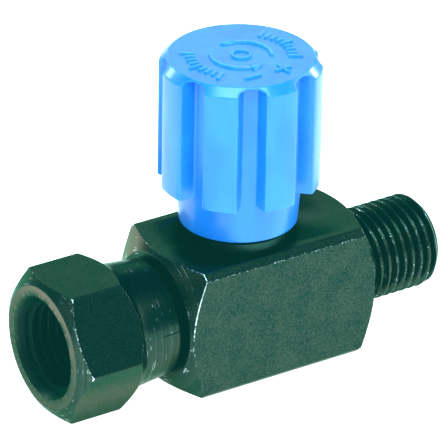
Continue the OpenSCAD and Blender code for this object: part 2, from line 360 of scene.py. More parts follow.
@dataclass(frozen=True)
class TurnedMetal:
    """Bare metal off the lathe: fine rings round its own axis and a little tarnish."""

    name: str
    body: Colour
    dull: Colour
    roughness: float = 0.28
    lines: float = 9.0

    def build(self) -> bpy.types.Material:
        """Rings change mostly with height, so they run round the stem axis; tarnish gathers in soft clouds.

        Returns:
            The material.
        """
        g = Graph(self.name)
        rings = g.noise(g.coordinate((0.3, 0.3, self.lines)), 1.0, 3.0, 0.6)
        cloud = g.noise(g.position, 0.8, 3.0, 0.6)
        fine = g.noise(g.position, 11.0, 2.0, 0.5)
        colour = g.mix((cloud * 0.7 + rings * 0.3).step(0.35, 0.7), self.body, self.dull)
        return g.dress(
            Base_Color=colour,
            Metallic=1.0,
            Roughness=self.roughness + rings * 0.12 + fine * 0.06,
            Normal=g.bump(rings * 0.7 + fine * 0.3, 0.008, 0.6),
        )


@dataclass(frozen=True)
class SoftSeal:
    """Rubber or PTFE: no shine to speak of, a fine mould texture and a trace of grease."""

    name: str
    body: Colour
    film: Colour
    roughness: float = 0.55

    def build(self) -> bpy.types.Material:
        """A greasy film lies over the body colour in soft patches.

        Returns:
            The material.
        """
        g = Graph(self.name)
        film = g.noise(g.position, 0.9, 3.0, 0.6).step(0.45, 0.7)
        fine = g.noise(g.position, 12.0, 2.0, 0.5)
        return g.dress(
            Base_Color=g.mix(film, self.body, self.film),
            Roughness=self.roughness + fine * 0.15 - film * 0.2,
            Normal=g.bump(fine, 0.006, 0.6),
        )


# ---------------------------------------------------------------------------------------------------------
# Surfaces


class Axis(Enum):
    """The axis that a surface is turned about."""

    FLOW = "x"
    STEM = "z"


@dataclass
class Corner:
    """One corner of a turned outline.

    Attributes:
        station: place along the axis, one number or one for each column.
        radius: distance from the axis, likewise.
        ease: how far the rounding reaches along both legs, in millimetres.
        wear_and_highlight: how much the finish is rubbed away at this corner, or on the knob how strong a
            painted edge
        highlight is, from 0 to 1, one number or one for each column.
        turned: whether the stretch from here to the next corner is cut on the lathe.
        bloom: how brown the stretch from here to the next corner is, or below 0 how much shade is painted
        on it, one number or one for each column.
    """

    station: Array | float
    radius: Array | float
    ease: float = 0.0
    wear_and_highlight: Array | float = 0.0
    turned: float = 1.0
    bloom: Array | float = 0.0


@dataclass
class Patch:
    """A grid of points: rows along an outline, columns round the axis, and the marks its finish reads.

    Attributes:
        station: place along the axis.
        radius: distance from the axis.
        wear_and_highlight: how far the finish is rubbed away, or on the knob and partly on thread crests a
            painted highlight.
        turned: 1 where the surface is lathe-cut.
        bloom: how brown the finish is, or below 0 how much shade is painted on it.
        shift: rows by which the surface climbs in one turn, as on a screw.
    """

    station: Array
    radius: Array
    wear_and_highlight: Array
    turned: Array
    bloom: Array
    shift: int = 0


def smooth_rise(value: Array, low: float, high: float) -> Array:
    """Rises from 0 at low to 1 at high along 3t squared less 2t cubed."""
    t = np.clip((value - low) / (high - low), 0, 1)
    return t * t * (3 - 2 * t)


def facing(angles: Array, middle: float, spread: float) -> Array:
    """1 at the middle angle, falling off as a bell curve of the given spread, both in radians."""
    gap = (angles - middle + math.pi) % TURN - math.pi
    return np.exp(-((gap / spread) ** 2))


def soft_min(a: Array, b: Array, blend: float) -> Array:
    """The smaller of two surfaces: half of their sum less the root of gap squared plus blend squared."""
    return (a + b - np.sqrt((a - b) ** 2 + blend**2)) / 2


def soft_max(a: Array, b: Array, blend: float) -> Array:
    """The larger of two surfaces: half of their sum plus the root of gap squared plus blend squared."""
    return (a + b + np.sqrt((a - b) ** 2 + blend**2)) / 2


def packed_angles(even: int, corners: Sequence[float], reach: float) -> Array:
    """Columns round a turn, close together at the corners of an outline.

    Args:
        even: number of columns that are spaced evenly.
        corners: angles of the outline's corners, in radians.
        reach: how far from a corner the close columns go, in radians.

    Returns:
        Rising angles from 0 up to, but not at, a full turn.
    """
    steps = reach * np.array([-1, -0.5, -0.25, -0.12, -0.04, 0.04, 0.12, 0.25, 0.5, 1])
    close = (np.asarray(corners)[:, None] + steps[None, :]).ravel() % TURN
    spread = np.arange(even) * TURN / even
    clear = np.abs(((spread[:, None] - close[None, :]) + math.pi) % TURN - math.pi).min(1) > 0.45 * reach
    angles = np.sort(np.concatenate([close, spread[clear]]))
    return angles[np.diff(angles, append=angles[0] + TURN) > 1e-4]


def eased_outline(angles: Array, normals: Array, distances: Array, ease: float) -> Array:
    """Radius of a convex many-sided outline whose corners are slightly rounded.

    One over the radius is the largest, over the sides, of cos(angle - normal) / distance. A soft maximum,
    the logarithm of summed exponentials, rounds the corners.

    Args:
        angles: directions in which the radius is wanted.
        normals: direction that each side faces.
        distances: distance of each side from the centre.
        ease: how much the rounding takes off a corner, in millimetres.

    Returns:
        One radius for each angle.
    """
    reach = np.cos(angles[:, None] - normals[None, :]) / distances[None, :]
    largest = reach.max(1)
    sharpness = math.log(2) / (ease / distances.max() ** 2)
    total = np.exp(sharpness * (reach - largest[:, None])).sum(1)
    return 1 / (largest + np.log(total) / sharpness)


def outline_patch(corners: Sequence[Corner], columns: int) -> Patch:
    """Carries an outline round the axis, easing each corner.

    Each corner is replaced by a quadratic curve from a point on one leg to a point on the other, with the
    corner itself as the middle handle: (1-s)^2 A + 2 s (1-s) C + s^2 B. Three more rows on each side keep the
    shading of the flat stretches flat and let the wear fade out. No row passes the middle of a leg.

    Args:
        corners: the outline, in order.
        columns: number of columns round the axis.

    Returns:
        The patch.
    """
    spots = [[np.broadcast_to(c.station, columns), np.broadcast_to(c.radius, columns)] for c in corners]
    points = np.array(spots).transpose(0, 2, 1).astype(float)
    fades = ((6.0, 0.0), (3.2, 0.06), (1.6, 0.3))  # how many easings away, and the share of the wear there
    rows, marks = [], []

    def add(row: Array, worn: Array | float, like: Corner) -> None:
        """Adds one row of points, worn as given and finished like the stretch that starts at a corner."""
        rows.append(row)
        marks.append(np.stack([np.broadcast_to(m, columns) for m in (worn, like.turned, like.bloom)]))

    for i, corner in enumerate(corners):
        here = points[i]
        before = corners[i - 1] if i else corner
        if corner.ease == 0 or i in (0, len(corners) - 1):
            add(here, corner.wear_and_highlight, before)
            add(here, corner.wear_and_highlight, corner)
            continue
        back, ahead = points[i - 1] - here, points[i + 1] - here
        back_length = np.linalg.norm(back, axis=1, keepdims=True) + 1e-9
        ahead_length = np.linalg.norm(ahead, axis=1, keepdims=True) + 1e-9
        back, ahead = back / back_length, ahead / ahead_length
        for far, share in fades:
            row = here + back * np.minimum(corner.ease * far, 0.48 * back_length)
            add(row, corner.wear_and_highlight * share, before)
        start = here + back * np.minimum(corner.ease, 0.4 * back_length)
        end = here + ahead * np.minimum(corner.ease, 0.4 * ahead_length)
        for t in np.linspace(0, 1, CORNER_STEPS + 1):
            curve = (1 - t) ** 2 * start + 2 * t * (1 - t) * here + t**2 * end
            add(curve, corner.wear_and_highlight, before if t < 0.5 else corner)
        for far, share in reversed(fades):
            row = here + ahead * np.minimum(corner.ease * far, 0.48 * ahead_length)
            add(row, corner.wear_and_highlight * share, corner)
    grid, mark = np.array(rows), np.array(marks, float)
    return Patch(grid[:, :, 0], grid[:, :, 1], mark[:, 0], mark[:, 1], mark[:, 2])


@dataclass(frozen=True)
class PipeThread:
    """A G 1/4 pipe thread, 19 to the inch, with flanks at 27.5 degrees and eased crests."""

    major: float = 6.5785
    minor: float = 5.7225
    pitch: float = 1.337
    crest_share: float = 0.167
    softness: float = 22.0
    run_out: tuple[float, float] = (0.05, 0.9)

    def tooth(self, phase: Array) -> Array:
        """Height of the ridge, 0 at the root and 1 at the crest.

        A triangle wave is stretched and clipped softly, as the difference of two softened ramps.

        Args:
            phase: place along the thread, in pitches from a root.

        Returns:
            The height at each place.
        """
        wave = 1 - np.abs(2 * (phase % 1) - 1)
        t = (wave - self.crest_share) / (1 - 2 * self.crest_share)
        k = self.softness
        return (np.logaddexp(0, k * t) - np.logaddexp(0, k * (t - 1))) / k

    def patch(
        self, start: float, end: float, angles: Array, outside: bool, edge: tuple[float, float, float],
    ) -> Patch:
        """The threaded stretch as a true screw surface.

        Row s and angle a lie at station s + pitch a / turn, held between start and end. The radius goes from
        the root towards the crest by the tooth's height, fading in where the tool runs out, and a chamfer
        cuts it: the radius stays inside the chamfer's rim plus its slope times the distance from that end.

        Args:
            start: lowest station.
            end: highest station.
            angles: the columns.
            outside: True for a male thread, False for a female one.
            edge: the radius of the chamfer's rim, its slope, and the station of that end.

        Returns:
            The patch, with the rows that it climbs in a turn.
        """
        rim, slope, rim_station = edge
        half = np.array([0, 0.05, 0.085, 0.12, 0.2, 0.31, 0.38, 0.415, 0.45])
        phases = np.concatenate([half, [0.5], 1 - half[:0:-1]])
        turns = int(math.ceil((end - start) / self.pitch)) + 1
        rows = np.concatenate([phases + k for k in range(turns)] + [[float(turns)]])
        climb = rows[:, None] * self.pitch + start - self.pitch + self.pitch * angles[None, :] / TURN
        station = np.clip(climb, start, end)
        root, crest = (self.minor, self.major) if outside else (self.major, self.minor)
        far_end = start if rim_station > (start + end) / 2 else end
        height = self.tooth(rows)[:, None] * smooth_rise(np.abs(station - far_end), *self.run_out)
        radius = root + (crest - root) * height
        cut = rim + slope * np.abs(station - rim_station)
        radius = np.minimum(radius, cut) if outside else np.maximum(radius, cut)
        # The crests are paled partly as wear and partly as a painted highlight along each ridge.
        crest_wear_and_highlight = 0.42 if outside else 0.15
        lathe = np.full_like(radius, 1.0 if outside else 0.0)
        wear_and_highlight = crest_wear_and_highlight * smooth_rise(height, 0.8, 1.0)
        return Patch(station, radius, wear_and_highlight, lathe, np.zeros_like(radius), len(phases))


class Shell:
    """A closed surface round one axis, put together from patches that share their columns."""

    def __init__(self, angles: Array, axis: Axis, height: float = 0.0) -> None:
        """Keeps the columns, the axis and how high a flow axis lies."""
        self.angles = angles
        self.axis = axis
        self.height = height
        self.patches: list[Patch] = []

    def add(self, patch: Patch) -> None:
        """Adds one stretch of the surface."""
        self.patches.append(patch)

    def points(self, patch: Patch) -> Array:
        """Places a patch: radius times cosine and sine of the angle, and the station along the axis.

        Args:
            patch: the patch.

        Returns:
            x, y and z of every point, in metres.
        """
        across = patch.radius * np.cos(self.angles)[None, :]
        up = patch.radius * np.sin(self.angles)[None, :]
        if self.axis is Axis.FLOW:
            parts = (patch.station, across, up + self.height)
        else:
            parts = (across, up, patch.station)
        return np.stack(parts, axis=-1) * MM

    def faces(self, patch: Patch, first: int) -> Array:
        """Corner numbers of the patch's four-sided faces, its seam closed with the patch's climb.

        Args:
            patch: the patch.
            first: number of its first point in the whole mesh.

        Returns:
            One row of four numbers for each face.
        """
        rows, columns = patch.station.shape
        number = np.arange(rows * columns).reshape(rows, columns) + first
        inner = np.stack([number[:-1, :-1], number[:-1, 1:], number[1:, 1:], number[1:, :-1]], -1)
        climb = patch.shift
        last = rows - 1 - climb
        seam = np.stack([
            number[:last, -1],
            number[climb : climb + last, 0],
            number[climb + 1 : climb + 1 + last, 0],
            number[1 : last + 1, -1],
        ], -1)
        return np.concatenate([inner.reshape(-1, 4), seam])

    def build(self, name: str) -> bpy.types.Object:
        """Makes the mesh object, merges what coincides and turns every face outwards.

        Args:
            name: the object's name.

        Returns:
            The object, at the origin.
        """
        points, faces, count = [], [], 0
        for patch in self.patches:
            points.append(self.points(patch).reshape(-1, 3))
            faces.append(self.faces(patch, count))
            count += patch.station.size
        marks = {
            key: np.concatenate([getattr(patch, key).ravel() for patch in self.patches])
            for key in ("wear_and_highlight", "turned", "bloom")
        }
        return make_object(name, np.concatenate(points), np.concatenate(faces), marks)


def make_object(name: str, points: Array, faces: Array, marks: dict[str, Array]) -> bpy.types.Object:
    """Turns arrays of points and four-sided faces into a clean closed mesh.

    Args:
        name: the object's name.
        points: one row of x, y, z for each point, in metres.
        faces: one row of four point numbers for each face.
        marks: numbers for each point, by the name that the finishes read.

    Returns:
        The linked object.
    """
    mesh = bpy.data.meshes.new(name)
    mesh.vertices.add(len(points))
    mesh.vertices.foreach_set("co", points.astype(np.float32).ravel())
    mesh.loops.add(faces.size)
    mesh.loops.foreach_set("vertex_index", faces.astype(np.int32).ravel())
    mesh.polygons.add(len(faces))
    mesh.polygons.foreach_set("loop_start", np.arange(0, faces.size, 4, dtype=np.int32))
    for key, values in marks.items():
        layer = mesh.attributes.new(key, "FLOAT", "POINT")
        layer.data.foreach_set("value", values.astype(np.float32))
    mesh.update(calc_edges=True)
    work = bmesh.new()
    work.from_mesh(mesh)
    bmesh.ops.remove_doubles(work, verts=work.verts, dist=MERGE_DISTANCE)
    bmesh.ops.dissolve_degenerate(work, edges=work.edges, dist=MERGE_DISTANCE)
    bmesh.ops.recalc_face_normals(work, faces=work.faces)
    open_edges = sum(1 for edge in work.edges if not edge.is_manifold)
    if open_edges:
        log.warning("%s has %d open edges", name, open_edges)
    work.to_mesh(mesh)
    work.free()
    mesh.polygons.foreach_set("use_smooth", np.ones(len(mesh.polygons), bool))
    mesh.set_sharp_from_angle(angle=SHARP_ANGLE)
    item = bpy.data.objects.new(name, mesh)
    bpy.context.scene.collection.objects.link(item)
    return item


def cut_away(item: bpy.types.Object, cutter: bpy.types.Object) -> None:
    """Takes the cutter's solid out of the item and removes the cutter.

    Args:
        item: the piece that is cut.
        cutter: a closed solid.
    """
    modifier = item.modifiers.new("cut", "BOOLEAN")
    modifier.operation = "DIFFERENCE"
    modifier.solver = "EXACT"
    modifier.object = cutter
    graph = bpy.context.evaluated_depsgraph_get()
    mesh = bpy.data.meshes.new_from_object(item.evaluated_get(graph))
    item.modifiers.clear()
    old = item.data
    item.data = mesh
    bpy.data.meshes.remove(old)
    bpy.data.objects.remove(cutter)


def plug(name: str, outline: Sequence[tuple[float, float]]) -> bpy.types.Object:
    """A plain solid to cut with, turned about the stem's axis.

    Args:
        name: the object's name.
        outline: corners as station and radius, from the axis back to the axis.

    Returns:
        The solid.
    """
    angles = np.arange(PLUG_COLUMNS) * TURN / PLUG_COLUMNS
    shell = Shell(angles, Axis.STEM)
    shell.add(outline_patch([Corner(station, radius) for station, radius in outline], PLUG_COLUMNS))
    return shell.build(name)


# ---------------------------------------------------------------------------------------------------------
# The valve's own sub-assemblies


@dataclass
class Body:
    """The square bar with its turned ends: spigot at the inlet, pipe thread at the outlet."""

    axis_height: float
    half_width: float
    nose: float
    tip: float
    inlet: float = -13.4
    outlet: float = 16.8
    chamfer: float = 0.85
    land: float = 8.9
    cone_angle: float = math.radians(30)
    spigot: float = 6.2
    spigot_chamfer: float = 0.4
    shoulder: float = -17.0
    neck: float = 5.5
    port: float = 2.25
    countersink: float = 0.9
    inlet_depth: float = 5.0
    outlet_depth: float = 12.0
    drill_point: float = 1.0
    thread_start: float = 0.3
    tip_chamfer: float = 0.25
    thread: PipeThread = field(default_factory=PipeThread)

    def long_edges(self) -> Array:
        """Angles of the eight long edges of the chamfered bar, the first one at the top of the far side."""
        lean = math.atan2(self.half_width - self.chamfer, self.half_width)
        return np.array([quarter * TURN / 4 + side * lean for quarter in range(4) for side in (1, -1)])

    def section(self, angles: Array) -> Array:
        """Radius of the chamfered square.

        Args:
            angles: the columns.

        Returns:
            One radius for each column.
        """
        normals = np.arange(8) * TURN / 8
        slant = (2 * self.half_width - self.chamfer) / math.sqrt(2)
        distances = np.where(np.arange(8) % 2 == 0, self.half_width, slant)
        return eased_outline(angles, normals, distances, ease=0.035)

    def edge_wear(self, angles: Array) -> Array:
        """Wear along the bar's long edges, gone 0.2 mm away and strongest on the front edge below the top.

        Args:
            angles: the columns.

        Returns:
            The wear of each column.
        """
        edges = self.long_edges()
        gap = np.abs((angles[:, None] - edges[None, :] + math.pi) % TURN - math.pi).min(1)
        amount = 0.27 + 0.22 * facing(angles, math.pi - edges[0], 0.05)
        return amount * (1 - smooth_rise(gap, 0.003, 0.018))

    def build(self) -> bpy.types.Object:
        """Turns the whole bar as one outline whose middle follows the square, then hollows it for the bonnet.

        Returns:
            The bar with its turned ends.
        """
        angles = packed_angles(even=120, corners=self.long_edges(), reach=0.05)
        count = len(angles)
        square = self.section(angles)
        slope = math.tan(self.cone_angle)
        left = self.inlet + (square - self.land) * slope
        right = self.outlet - (square - self.land) * slope
        brown = facing(angles, math.radians(48), 0.45)
        left_wear = 0.40 + 0.32 * facing(angles, math.radians(150), 0.45)
        root = self.thread.minor
        tip_rim = root - self.tip_chamfer
        shell = Shell(angles, Axis.FLOW, self.axis_height)
        bar = outline_patch([
            Corner(self.inlet + self.inlet_depth + self.drill_point, 0.0),
            Corner(self.inlet + self.inlet_depth, self.port),
            Corner(self.nose, self.port, 0.15, 0.4),
            Corner(self.nose, self.spigot - self.spigot_chamfer, 0.08, 0.4),
            Corner(self.nose + self.spigot_chamfer, self.spigot, 0.08, 0.3),
            Corner(self.shoulder, self.spigot, 0.08),
            Corner(self.shoulder, self.neck, 0.1),
            Corner(self.inlet, self.neck, 0.15),
            Corner(self.inlet, self.land, 0.1, 0.25, 1.0, brown),
            Corner(left, square, 0.07, left_wear, 0.0),
            Corner(right, square, 0.10, 0.30),
            Corner(self.outlet, self.land, 0.1, 0.3),
            Corner(self.outlet, root, 0.12),
            Corner(self.outlet + self.thread_start, root),
        ], count)
        on_bar = (bar.station > left + 0.01) & (bar.station < right - 0.01)
        on_bar = on_bar & (bar.radius > self.half_width - 0.2)
        bar.wear_and_highlight = np.maximum(bar.wear_and_highlight, self.edge_wear(angles)[None, :] * on_bar)
        shell.add(bar)
        chamfer = (tip_rim, 1.0, self.tip)
        shell.add(self.thread.patch(self.outlet + self.thread_start, self.tip, angles, True, chamfer))
        shell.add(outline_patch([
            Corner(self.tip, tip_rim, 0.0, 0.6),
            Corner(self.tip, self.port + self.countersink, 0.08, 0.4),
            Corner(self.tip - self.countersink, self.port, 0.1, 0.2),
            Corner(self.tip - self.outlet_depth, self.port),
            Corner(self.tip - self.outlet_depth - self.drill_point, 0.0),
        ], count))
        item = shell.build("body")
        self.hollow(item)
        return item

    def hollow(self, item: bpy.types.Object) -> None:
        """Cuts the stepped hole that takes the seat, the stem and the bonnet.

        Args:
            item: the bar.
        """
        axis = self.axis_height
        top = 2 * self.half_width
        mouth = top + 1
        stages = (
            (axis - 3.2, 2.6),  # seat
            (axis - 1.5, 3.4),  # chamber
            (axis + 1.2, 5.4),  # skirt of the bonnet
            (axis + 3, 6.0),  # thread of the bonnet
            (top - 1.3, 7.0),  # seal of the bonnet
        )
        ends = [start for start, _ in stages[1:]] + [mouth]
        outline = [(stages[0][0], 0.0)]
        for (start, radius), end in zip(stages, ends):
            outline += [(start, radius), (end, radius)]
        outline.append((mouth, 0.0))
        cut_away(item, plug("bonnet_hole", outline))


@dataclass
class SwivelNut:
    """The hexagon nut: chamfered both ends, threaded inside, its tail crimped over the spigot."""

    axis_height: float
    front: float
    rear: float
    flat: float
    hex_length: float = 10.2
    mouth_ring: float = 8.65
    mouth: float = 7.25
    tail: float = 8.75
    lip: float = 8.15
    lip_edge: float = 0.35
    bore: float = 6.25
    lip_width: float = 2.15
    crimp_bore: float = 5.55
    crimp_length: float = 3.2
    bore_chamfer: float = 0.3
    thread_length: float = 8.95
    relief: float = 1.0
    front_angle: float = math.radians(30)
    rear_angle: float = math.radians(43)
    die_marks: tuple[float, float] = (math.radians(169.5), math.radians(124))
    die_spread: float = 0.006
    die_depth: float = 0.09
    thread: PipeThread = field(default_factory=PipeThread)

    def die_cut(self, angles: Array) -> Array:
        """Depth of the two lines that the crimping dies left along the tail's end."""
        return self.die_depth * sum(facing(angles, place, self.die_spread) for place in self.die_marks)

    def corner_wear(self, angles: Array) -> Array:
        """Wear round the mouth's chamfer, strongest at the two corners that stand out in front."""
        corners = facing(angles, math.radians(120), 0.03) + facing(angles, math.pi, 0.03)
        return 0.25 + 0.32 * facing(angles, math.radians(150), 0.5) + 0.5 * corners

    def tail_bloom_and_shade(self, angles: Array) -> Array:
        """Brown on the tail's top and low in front, with painted shade on the slope between them."""
        brown = 0.75 * facing(angles, math.radians(60), 0.22) + 0.25 * facing(angles, math.radians(200), 0.5)
        # The dip below 0, on the slope that faces up and a little forward, is painted shade.
        return brown - 0.85 * facing(angles, math.radians(115), 0.45)

    def build(self) -> bpy.types.Object:
        """Turns the nut as one outline whose middle follows the hexagon, with the screw surface inside.

        Returns:
            The nut.
        """
        corners = [k * TURN / 6 for k in range(6)]
        angles = packed_angles(even=132, corners=corners + list(self.die_marks), reach=0.04)
        count = len(angles)
        normals = (np.arange(6) + 0.5) * TURN / 6
        hexagon = eased_outline(angles, normals, np.full(6, self.flat), ease=0.05)
        near = self.front + (hexagon - self.mouth_ring) * math.tan(self.front_angle)
        rear_flat = self.front + self.hex_length
        far = rear_flat - (hexagon - self.flat) * math.tan(self.rear_angle)
        tail_start = rear_flat + (self.flat - self.tail) * math.tan(self.rear_angle)
        lip_start = self.rear - self.lip_edge
        taper = (self.lip - self.tail) / (lip_start - tail_start)
        crimp = self.rear - self.crimp_length
        at_crimp = self.tail + (crimp - tail_start) * taper
        dies = self.die_cut(angles)
        ring = 0.35 + 0.6 * facing(angles, math.radians(105), 1.1)
        lower = 0.42 * facing(angles, math.radians(212), 0.4)
        tail_tint_and_shade = self.tail_bloom_and_shade(angles)
        shell = Shell(angles, Axis.FLOW, self.axis_height)
        outer = outline_patch([
            Corner(self.front, self.mouth, 0.0, 0.1, 0.0),
            Corner(self.front, self.mouth + 0.08, 0.0, 0.1, 0.0, ring),
            Corner(self.front, self.mouth_ring, 0.09, 0.2),
            Corner(near, hexagon, 0.09, self.corner_wear(angles), 0.0, lower),
            Corner(far, hexagon, 0.12, 0.2, 1.0, 0.35 * lower),
            Corner(tail_start, self.tail, 0.9, 0.0, 1.0, tail_tint_and_shade),
            Corner(crimp - 0.1, at_crimp - 0.1 * taper, 0.0, 0.0, 1.0, tail_tint_and_shade),
            Corner(crimp, at_crimp - dies, 0.0, 0.0, 1.0, tail_tint_and_shade),
            Corner(lip_start, self.lip - dies, 0.2, 0.1, 1.0, tail_tint_and_shade),
            Corner(self.rear, self.lip - self.lip_edge, 0.12, 0.15),
            Corner(self.rear, self.crimp_bore + self.bore_chamfer, 0.1),
            Corner(self.rear - self.bore_chamfer, self.crimp_bore, 0.1),
            Corner(self.rear - self.lip_width, self.crimp_bore),
            Corner(self.rear - self.lip_width, self.bore),
            Corner(self.front + self.thread_length + self.relief, self.bore),
            Corner(self.front + self.thread_length, self.thread.major),
        ], count)
        edge = 1 - smooth_rise(np.abs((angles + TURN / 12) % (TURN / 6) - TURN / 12), 0.004, 0.03)
        on_hexagon = (outer.radius > self.flat - 0.2) * (outer.station < rear_flat + 0.2)
        outer.wear_and_highlight = np.maximum(outer.wear_and_highlight, 0.3 * edge[None, :] * on_hexagon)
        shell.add(outer)
        cut = (self.mouth, -1.0, self.front)
        inside = self.thread.patch(self.front, self.front + self.thread_length, angles, False, cut)
        # Shade is painted over the whole thread inside the nut, fading out in the first millimetre at the
        # mouth.
        inside.bloom = -0.8 * smooth_rise(inside.station, self.front - 0.3, self.front + 0.7)
        shell.add(inside)
        return shell.build("nut")


@dataclass
class Knob:
    """The moulded knob: eight lobes parted by arched flutes, a chamfered crown and a round collar."""

    foot: float
    top: float
    radius: float
    collar_height: float = 5.9
    collar_foot: float = 8.1
    collar_top: float = 8.55
    floor: float = 8.65
    flutes: int = 8
    flute_width: float = 2.1
    mouth_width: float = 4.0
    flute_turn: float = math.radians(-2.5)
    arch_height: float = 1.3
    arch_reach: float = math.radians(11.2)
    arch_gap: float = 0.05
    arch_climb: float = 0.9
    crown: float = 1.15
    skirt_bore: float = 6.95
    hub: float = 5.0
    ceiling: float = 27.5
    hub_top: float = 37.0
    screw_height: float = 32.5
    screw_angle: float = math.radians(65)
    screw_hole: float = 2.1

    def columns(self) -> Array:
        """Columns that crowd on the two walls of each flute.

        Returns:
            Rising angles round the stem.
        """
        inner_side = [0, 2.5, 4.5, 5.8, 6.5, 7.0, 7.5, 8.0, 8.5, 9.0]
        outer_side = [9.4, 9.7, 10.0, 10.3, 10.6, 10.9, 11.3, 12, 13.5, 17]
        half = np.radians(inner_side + outer_side)
        one = np.concatenate([-half[:0:-1], half, [TURN / 16]])
        centres = (np.arange(self.flutes) + 0.5) * TURN / self.flutes + self.flute_turn
        return np.sort((centres[:, None] + one[None, :]).ravel() % TURN)

    def carved(self, station: Array, outer: Array, angles: Array) -> Array:
        """Radius once the flutes are cut.

        In a flute the radius is the larger of its floor, its slanted wall and its arched end, which climbs
        from the floor to the lobes just under the crown. The lobes' own radius caps it.

        Args:
            station: height of each row and column.
            outer: radius there without flutes.
            angles: the columns.

        Returns:
            The carved radius.
        """
        spacing = TURN / self.flutes
        lean = np.abs(((angles - self.flute_turn) % spacing) - spacing / 2)[None, :]
        run = np.array([self.radius - self.floor, (self.mouth_width - self.flute_width) / 2])
        normal = np.array([-run[1], run[0]])
        offset = normal @ np.array([self.floor, self.flute_width / 2])
        slant = normal[0] * np.cos(lean) + normal[1] * np.sin(lean)
        tiny, no_wall = -1e-6, 99.0
        wall = np.where(slant < tiny, offset / np.minimum(slant, tiny), no_wall)
        wall = np.minimum(wall, no_wall)
        bow = 1 - np.sqrt(np.clip(1 - (lean / self.arch_reach) ** 2, 0, 1))
        arch = self.top - self.arch_gap - self.arch_height * bow
        share = np.clip((station - arch + self.arch_climb) / self.arch_climb, 0, 3) ** 1.6
        end = self.floor + share * (self.radius - self.floor)
        trough = soft_max(np.full_like(wall, self.floor), wall, blend=0.35)
        flute = soft_max(trough, end, blend=0.15)
        return np.where(station < self.top - 0.02, soft_min(outer, flute, blend=0.40), outer)

    def build(self) -> bpy.types.Object:
        """Carries the knob's outline round the stem, cuts the flutes in it and drills for the set screw.

        Returns:
            The knob's moulding.
        """
        angles = self.columns()
        lobe_foot = self.foot + self.collar_height
        shoulder = self.top - self.crown
        rim = self.radius - self.crown
        walls = np.linspace(lobe_foot + 1, shoulder - 1.7, 7)
        arches = np.linspace(shoulder - 1.6, shoulder - 0.35, 12)
        rise = [Corner(height, self.radius) for height in (*walls, *arches)]
        slope = [
            Corner(shoulder + t * self.crown, self.radius - t * self.crown, 0.0, 0.25)
            for t in np.linspace(0.25, 0.86, 12)
        ]
        # On the knob the corners' wear numbers pale the crown and lobe edges: a painted highlight.
        patch = outline_patch([
            Corner(self.hub_top, 0.0),
            Corner(self.hub_top, self.hub),
            Corner(self.ceiling, self.hub),
            Corner(self.ceiling, self.skirt_bore),
            Corner(self.foot, self.skirt_bore, 0.2),
            Corner(self.foot, self.collar_foot, 0.22, 0.2),
            Corner(lobe_foot, self.collar_top, 0.12),
            Corner(lobe_foot, self.radius, 0.2, 0.6),
            *rise,
            Corner(shoulder, self.radius, 0.18, 0.5),
            *slope,
            Corner(self.top, rim, 0.16, 0.6),
            Corner(self.top, rim * 0.5),
            Corner(self.top, 0.0),
        ], len(angles))
        outer = patch.radius
        outside = (patch.station > lobe_foot - 0.3) & (outer > self.collar_top + 0.02)
        carved = np.where(outside, self.carved(patch.station, outer, angles), outer)
        gap = np.clip(outer - carved, 0, None)
        # A thin band along each flute's edge gets the pale edge colour: a painted highlight.
        lip = np.exp(-(((gap - 0.12) / 0.12) ** 2)) * outside
        patch.wear_and_highlight = np.maximum(patch.wear_and_highlight * (gap < 0.3), 0.6 * lip)
        patch.radius = carved
        shell = Shell(angles, Axis.STEM)
        shell.add(patch)
        item = shell.build("knob_moulding")
        start, end = self.hub - 0.5, self.radius + 1
        outline = [(start, 0.0), (start, self.screw_hole), (end, self.screw_hole), (end, 0.0)]
        hole = plug("screw_hole", outline)
        lay = Matrix.Rotation(self.screw_angle, 4, "Z") @ Matrix.Rotation(math.pi / 2, 4, "Y")
        hole.data.transform(Matrix.Translation((0, 0, self.screw_height * MM)) @ lay)
        cut_away(item, hole)
        return item


